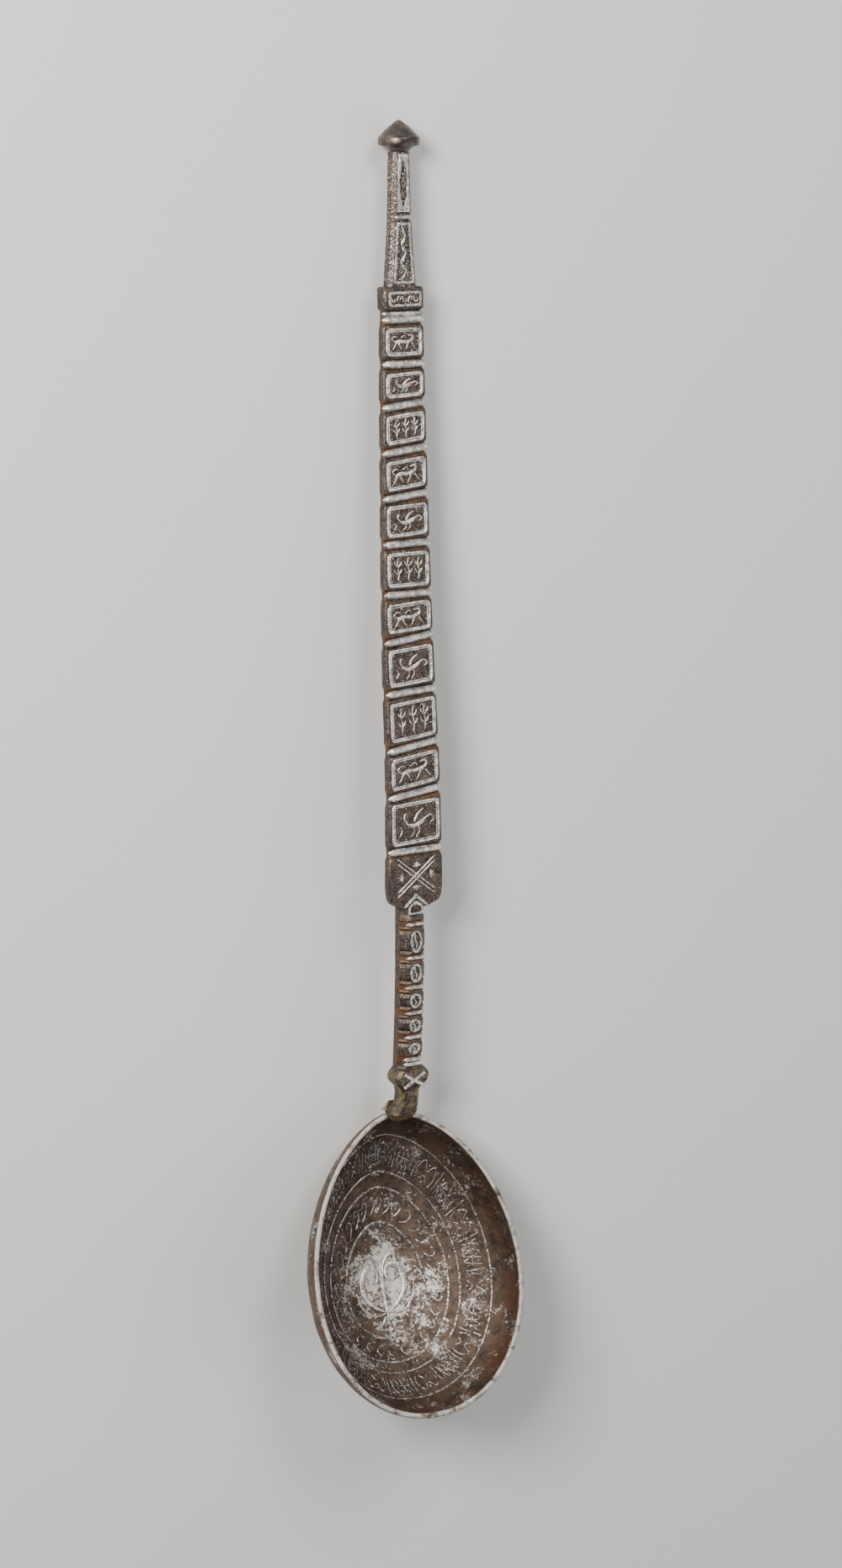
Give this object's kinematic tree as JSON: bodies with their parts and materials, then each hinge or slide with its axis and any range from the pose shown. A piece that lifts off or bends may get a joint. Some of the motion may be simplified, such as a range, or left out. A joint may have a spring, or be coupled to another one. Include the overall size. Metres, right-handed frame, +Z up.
{
  "type": "ladle",
  "caption": "Long iron ladle with an egg-shaped bowl, a panelled flat handle inlaid with silver bars and frames, and a cone-shaped finial.",
  "frame": {"origin": "middle of the ladle's footprint, on the surface it lies on", "axes": "+Y along the handle towards the finial, +Z up out of the front face, +X across the handle, to the right as the front is seen with the bowl below"},
  "size_m": [0.0742, 0.401, 0.0476],
  "materials": {
    "bowl_iron": "worn forged iron, brown, with polished silver specks",
    "handle_iron": "dark forged iron with rust in the grooves",
    "finial_iron": "smooth dark iron, slightly glossy",
    "silver": "worn beaten silver with dark pits",
    "braze": "dull patchy brass braze"
  },
  "bodies": {
    "root": {"bowl": "bowl_iron", "handle_bar": "handle_iron", "finial_cap": "finial_iron", "neck_braze": "braze", "bowl_medallion_ring": "silver", "bowl_scroll_ring": "silver", "bowl_band_lower_line": "silver", "bowl_band_upper_line": "silver", "crossbar_01": "silver", "crossbar_02": "silver", "crossbar_03": "silver", "crossbar_04": "silver", "crossbar_05": "silver", "crossbar_06": "silver", "crossbar_07": "silver", "crossbar_08": "silver", "crossbar_09": "silver", "crossbar_10": "silver", "crossbar_11": "silver", "crossbar_12": "silver", "panel_frame_01": "silver", "panel_frame_02": "silver", "panel_frame_03": "silver", "panel_frame_04": "silver", "panel_frame_05": "silver", "panel_frame_06": "silver", "panel_frame_07": "silver", "panel_frame_08": "silver", "panel_frame_09": "silver", "panel_frame_10": "silver", "panel_frame_11": "silver", "foot_saltire": "silver", "foot_chevron": "silver", "foot_arch": "silver", "knuckle_saltire": "silver", "collar_ridge": "silver", "collar_frame": "silver", "vine_frame": "silver", "upper_band": "silver", "leaf_panel": "silver", "shaft_bar_01": "silver", "shaft_bar_02": "silver", "shaft_bar_03": "silver", "shaft_bar_04": "silver", "shaft_bar_05": "silver", "shaft_medallion_01": "silver", "shaft_medallion_02": "silver", "shaft_medallion_03": "silver", "shaft_medallion_04": "silver", "shaft_medallion_05": "silver", "shaft_ridge_01": "silver", "shaft_ridge_02": "silver"}
  },
  "joints": []
}
